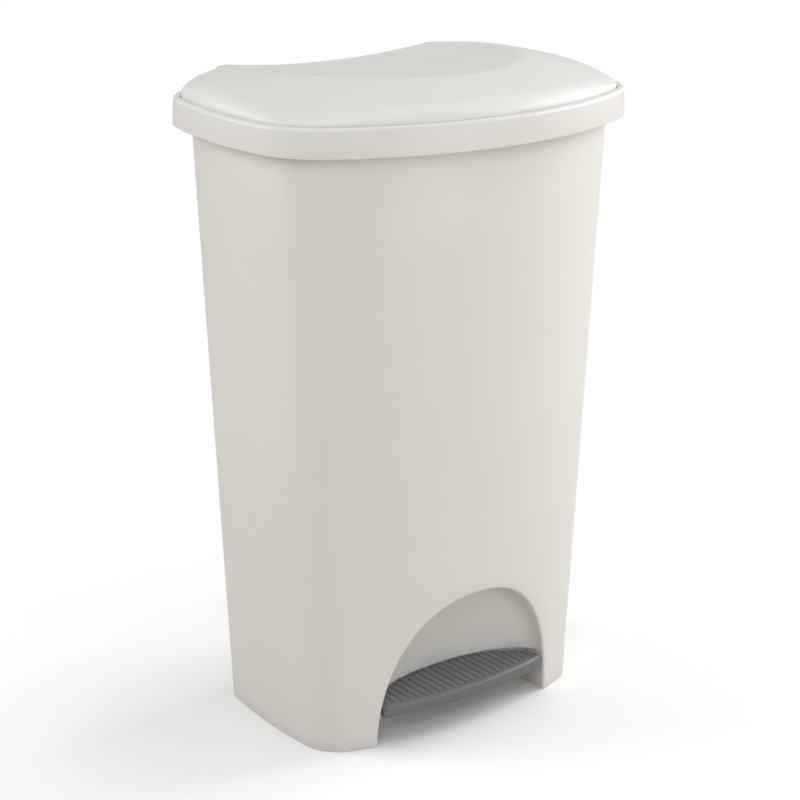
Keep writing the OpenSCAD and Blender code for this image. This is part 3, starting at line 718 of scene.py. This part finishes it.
def draw_lid():
    """The lid's skin: a chain across its rounding, spun round the plan and drawn in to the middle."""
    lid = new_point("lid_moulding", (0, -LID_PLAN[1], DOME_EDGE))
    before = 0
    for step in range(1, EDGE_STEPS + 1):
        here = LID_ROUND * (1 - math.cos(math.pi / 2 * step / EDGE_STEPS))
        bpy.ops.mesh.extrude_region_move(TRANSFORM_OT_translate={"value": (0, here - before, 0)})
        before = here
    bpy.ops.mesh.select_all(action="SELECT")
    run_out = [back_end.x - LID_ROUND * (1 - math.cos(math.pi / 2 * k / EDGE_STEPS))
               for k in range(1, EDGE_STEPS + 1)]
    flat = [run_out[-1] * (1 - k / BACK_STEPS) for k in range(1, BACK_STEPS + 1)]
    sweep_round(LID_PLAN, LID_STEPS, run_out + flat)
    mirror_left(lid)
    choose_rim(lid, lambda m: edge_ring(m) > LID_ROUND / 2)
    for ring in range(1, LID_RINGS):
        shrink = (LID_RINGS - ring) / (LID_RINGS - ring + 1)
        bpy.ops.mesh.extrude_region_move()
        bpy.ops.transform.resize(value=(shrink, shrink, 1), center_override=(0, 0, DOME_EDGE))
    bpy.ops.mesh.extrude_region_move()
    bpy.ops.mesh.merge(type="CENTER")
    bpy.ops.object.mode_set(mode="OBJECT")
    for v in lid.data.vertices:
        v.co.z = lid_height(v.co.x, v.co.y)
    choose_rim(lid, lambda m: True)
    bpy.ops.mesh.extrude_region_move()
    for v in chosen_points(lid):
        v.co.z = SKIRT_LOW if v.co.y < HINGE_Y - 0.018 else BACK_SKIRT_LOW
        v.co.x *= SKIRT_DRAFT
        v.co.y *= SKIRT_DRAFT
    bpy.ops.object.mode_set(mode="EDIT")
    bpy.ops.mesh.select_all(action="SELECT")
    bpy.ops.mesh.remove_doubles(threshold=0.00002)
    bpy.ops.mesh.normals_make_consistent(inside=False)
    bpy.ops.object.mode_set(mode="OBJECT")
    return lid


def draw_lugs():
    """The seat for the heel and the two lugs that take the hinge pins, under the lid's back."""
    lugs = [new_block("heel_seat", (-0.017, HINGE_Y - 0.018, HINGE_Z + 0.001),
                      (0.017, LID_PLAN[2] - 0.001, COLLAR_HIGH + 0.0110))]
    for side in (-1, 1):
        x = side * HINGE_X
        lugs.append(new_block("lug", (x - LUG_HALF_WIDTH, HINGE_Y - BARREL_RADIUS, HINGE_Z),
                              (x + LUG_HALF_WIDTH, HINGE_Y + BARREL_RADIUS, COLLAR_HIGH + 0.0165)))
        deselect_all()
        bpy.ops.mesh.primitive_cylinder_add(vertices=48, radius=BARREL_RADIUS, depth=2 * LUG_HALF_WIDTH)
        barrel = bpy.context.object
        bpy.ops.object.mode_set(mode="EDIT")
        bpy.ops.transform.rotate(value=math.pi / 2, orient_axis="Y", center_override=(0, 0, 0))
        bpy.ops.transform.translate(value=(x, HINGE_Y, HINGE_Z))
        bpy.ops.object.mode_set(mode="OBJECT")
        lugs.append(barrel)
    return lugs


lid = draw_lid()
apply_modifier(lid, "SOLIDIFY", thickness=LID_WALL, offset=-1, use_even_offset=True, use_rim=True)
for side in (-1, 1):
    cut_away(lid, new_block("notch", (side * HINGE_X - 0.013, HINGE_Y + 0.0065, SKIRT_LOW - 0.001),
                            (side * HINGE_X + 0.013, LID_PLAN[2] + 0.01, HINGE_Z + 0.007)))
back_y = LID_PLAN[2]
tab_top = lid_height(0, back_y) + 0.0006
tab = new_block("tab", (-TAB_HALF_WIDTH, back_y - 0.0065, tab_top - 0.003),
                (TAB_HALF_WIDTH, back_y - 0.0003, tab_top))
choose(tab, lambda m: m.z > tab_top - 1e-4, "EDGE")
bpy.ops.mesh.bevel(offset=0.0007, segments=3, affect="EDGES")
bpy.ops.object.mode_set(mode="OBJECT")
join_to(lid, tab, *draw_lugs())
smooth(lid, 32)
finish_with(white_polypropylene, lid)
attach(lid, "lid")
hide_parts("lid_shell")

# ---------------------------------------------------------------- pedal
# The pedal is a dark grey moulding on a steel carrier. Its top has low ribs from front to back,
# which end at a smooth rounded lip, and its back edge is oval to clear the niche.

PEDAL_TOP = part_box("pedal_tread")[1].z
PEDAL_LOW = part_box("pedal_tread")[0].z
PEDAL_HALF_WIDTH = 0.1062
PEDAL_FRONT = 0.108
PEDAL_CORNER_Y = -0.095
PEDAL_DEEP = 0.0492
PEDAL_BOW = PEDAL_FRONT + PEDAL_CORNER_Y
RIB_HEIGHT = 0.0013
RIB_WIDTH = 0.0076
RIB_ROUND = 0.0016
RIB_PITCH = 0.0088
RIBS_EACH_SIDE = 11
TREAD_WALL = 0.003
LIP_ROUND = 0.0036
TREAD_TOP = PEDAL_TOP - RIB_HEIGHT
pedal_radius = (PEDAL_HALF_WIDTH ** 2 + PEDAL_BOW ** 2) / (2 * PEDAL_BOW)


def pedal_front_y(x):
    return pedal_radius - PEDAL_FRONT - math.sqrt(pedal_radius ** 2 - x * x)


def pedal_back_y(x):
    return PEDAL_CORNER_Y + PEDAL_DEEP * math.sqrt(max(0, 1 - (x / PEDAL_HALF_WIDTH) ** 2))


def draw_tread():
    """The tread's plate: its plan drawn by spinning, raised, and rounded along its front lip."""
    turn = math.asin(PEDAL_HALF_WIDTH / pedal_radius)
    plate = new_point("pedal_plate", (0, -PEDAL_FRONT, PEDAL_LOW))
    bpy.ops.mesh.spin(steps=20, angle=-turn, center=(0, pedal_radius - PEDAL_FRONT, 0), axis=(0, 0, 1))
    bpy.ops.mesh.spin(steps=14, angle=-math.pi / 2, center=(0, PEDAL_CORNER_Y, 0), axis=(0, 0, 1))
    bpy.ops.object.mode_set(mode="OBJECT")
    for v in plate.data.vertices:
        if v.co.y > PEDAL_CORNER_Y + 1e-6:
            v.co.y = PEDAL_CORNER_Y + (v.co.y - PEDAL_CORNER_Y) * PEDAL_DEEP / PEDAL_HALF_WIDTH
    mirror_left(plate)
    bpy.ops.object.mode_set(mode="EDIT")
    bpy.ops.mesh.select_all(action="SELECT")
    bpy.ops.mesh.edge_face_add()
    bpy.ops.mesh.extrude_region_move(TRANSFORM_OT_translate={"value": (0, 0, TREAD_TOP - PEDAL_LOW)})
    bpy.ops.mesh.select_all(action="SELECT")
    bpy.ops.mesh.normals_make_consistent(inside=False)
    choose(plate, lambda m: abs(abs(m.x) - PEDAL_HALF_WIDTH) < 1e-5 and m.y < PEDAL_CORNER_Y + 1e-5,
           "EDGE")
    bpy.ops.mesh.bevel(offset=0.004, segments=5, affect="EDGES")
    choose(plate, lambda m: m.z > TREAD_TOP - 1e-5 and m.y < PEDAL_CORNER_Y + 0.010, "EDGE")
    bpy.ops.mesh.bevel(offset=LIP_ROUND, segments=5, affect="EDGES")
    choose(plate, lambda m: m.z < PEDAL_LOW + 1e-5)
    bpy.ops.mesh.delete(type="ONLY_FACE")
    bpy.ops.object.mode_set(mode="OBJECT")
    return plate


def draw_ribs():
    """One rounded bar, copied across the tread, each copy as long as the tread is deep there."""
    bar = new_block("rib", (-RIB_WIDTH / 2, 0, PEDAL_TOP - 0.004), (RIB_WIDTH / 2, 1, PEDAL_TOP))
    choose(bar, lambda m: m.z > PEDAL_TOP - 1e-4 and abs(m.x) > RIB_WIDTH / 4, "EDGE")
    bpy.ops.mesh.bevel(offset=RIB_ROUND, segments=4, affect="EDGES")
    bpy.ops.object.mode_set(mode="OBJECT")
    ribs = []
    for i in range(-RIBS_EACH_SIDE, RIBS_EACH_SIDE + 1):
        x = i * RIB_PITCH
        start = pedal_front_y(x) + 0.0055
        end = pedal_back_y(x) - 0.0012
        rib = bar.copy()
        rib.data = bar.data.copy()
        bpy.context.collection.objects.link(rib)
        for v in rib.data.vertices:
            v.co.x += x
            v.co.y = start + v.co.y * (end - start)
            if v.co.z > PEDAL_TOP - RIB_HEIGHT:
                v.co.y += 0.001 if v.co.y < (start + end) / 2 else -0.001
        ribs.append(rib)
    bpy.data.objects.remove(bar)
    return ribs


tread = draw_tread()
apply_modifier(tread, "SOLIDIFY", thickness=TREAD_WALL, offset=-1, use_even_offset=True, use_rim=True)
cut_away(tread, new_block("arm_way", (-0.0175, -0.058, PEDAL_LOW - 0.001),
                          (0.0175, -0.046, PEDAL_TOP - 0.003)))
join_to(tread, *draw_ribs())
tread.name = "pedal_moulding"
smooth(tread)
grey_pedal_plastic = satin_plastic("grey_pedal_plastic", (0.172, 0.173, 0.176), 0.42, 0.2, 0.08)
finish_with(grey_pedal_plastic, tread)
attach(tread, "lever")
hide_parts("pedal_tread")

# ---------------------------------------------------------------- lever
# Two flat steel arms join the pedal's carrier to a grey roller nose under the rod's foot, and turn
# on a steel axle in the brackets under the floor, held by two clips.

finish_with(grey_acetal, nodes["lever_nose"])
finish_with(zinc_plated_steel, nodes["tread_carrier"], nodes["lever_arm_left"], nodes["lever_arm_right"],
            nodes["lever_axle"], nodes["axle_clip_left"], nodes["axle_clip_right"])

# ---------------------------------------------------------------- studio
# A plain white floor and background. The paper keeps the bin's shadow near it and is plain white to
# the camera further out. Soft boxes stand at both sides, behind on the left, low in front and above.

deselect_all()
bpy.ops.mesh.primitive_plane_add(size=8, location=(0, 0, -0.0002))
floor = bpy.context.object
floor.name = "studio_floor"
bpy.ops.object.transform_apply(location=True)
paper = bpy.data.materials.new("studio_paper")
paper.use_nodes = True
sheet = paper.node_tree
matt = sheet.nodes["Principled BSDF"]
matt.inputs["Roughness"].default_value = 0.9
matt.inputs["Specular IOR Level"].default_value = 0
rays = sheet.nodes.new("ShaderNodeLightPath")
tone = sheet.nodes.new("ShaderNodeMix")
tone.data_type = "RGBA"
tone.inputs[6].default_value = (0.53, 0.505, 0.46, 1)
tone.inputs[7].default_value = (0.98, 0.975, 0.97, 1)
sheet.links.new(rays.outputs["Is Camera Ray"], tone.inputs[0])
sheet.links.new(tone.outputs[2], matt.inputs["Base Color"])
spot = sheet.nodes.new("ShaderNodeTexCoord")
reach = sheet.nodes.new("ShaderNodeVectorMath")
reach.operation = "LENGTH"
sheet.links.new(spot.outputs["Object"], reach.inputs[0])
fade = sheet.nodes.new("ShaderNodeMapRange")
fade.interpolation_type = "SMOOTHSTEP"
fade.inputs["From Min"].default_value = 0.27
fade.inputs["From Max"].default_value = 0.62
sheet.links.new(reach.outputs["Value"], fade.inputs["Value"])
seen = sheet.nodes.new("ShaderNodeMath")
seen.operation = "MULTIPLY"
sheet.links.new(rays.outputs["Is Camera Ray"], seen.inputs[0])
sheet.links.new(fade.outputs["Result"], seen.inputs[1])
white = sheet.nodes.new("ShaderNodeEmission")
white.inputs["Strength"].default_value = 1
spread = sheet.nodes.new("ShaderNodeMixShader")
sheet.links.new(seen.outputs["Value"], spread.inputs["Fac"])
sheet.links.new(matt.outputs["BSDF"], spread.inputs[1])
sheet.links.new(white.outputs["Emission"], spread.inputs[2])
sheet.links.new(spread.outputs["Shader"], sheet.nodes["Material Output"].inputs["Surface"])
finish_with(paper, floor)

world = bpy.data.worlds.new("studio")
bpy.context.scene.world = world
world.use_nodes = True
air = world.node_tree
room = air.nodes["Background"]
room.inputs["Color"].default_value = (1, 1, 1, 1)
room.inputs["Strength"].default_value = 0.32
backdrop = air.nodes.new("ShaderNodeBackground")
backdrop.inputs["Color"].default_value = (1, 1, 1, 1)
backdrop.inputs["Strength"].default_value = 1
paths = air.nodes.new("ShaderNodeLightPath")
pick = air.nodes.new("ShaderNodeMixShader")
air.links.new(paths.outputs["Is Camera Ray"], pick.inputs["Fac"])
air.links.new(room.outputs["Background"], pick.inputs[1])
air.links.new(backdrop.outputs["Background"], pick.inputs[2])
air.links.new(pick.outputs["Shader"], air.nodes["World Output"].inputs["Surface"])


BIN_MIDDLE = Vector((0, 0, 0.35))


def soft_box(name, place, size, power):
    """A rectangular lamp turned towards the middle of the bin."""
    deselect_all()
    bpy.ops.object.light_add(type="AREA", location=place)
    box = bpy.context.object
    box.name = name
    box.data.shape = "RECTANGLE"
    box.data.size, box.data.size_y = size
    box.data.energy = power
    box.rotation_mode = "QUATERNION"
    box.rotation_quaternion = (BIN_MIDDLE - Vector(place)).to_track_quat("-Z", "Y")


soft_box("left_box", (-2.0, -2.0, 1.7), (1.6, 1.6), 23)
soft_box("left_back_box", (-2.0, 1.6, 1.4), (1.4, 1.4), 30)
soft_box("low_box", (0.6, -2.9, 0.4), (1.2, 0.7), 13)
soft_box("right_front_box", (2.0, -2.0, 1.7), (1.6, 1.6), 9)
soft_box("right_box", (2.8, -0.3, 1.5), (1.6, 1.6), 62)
soft_box("top_box", (0, -0.2, 3.0), (2.0, 2.0), 17)

bpy.context.scene.view_settings.view_transform = "Standard"
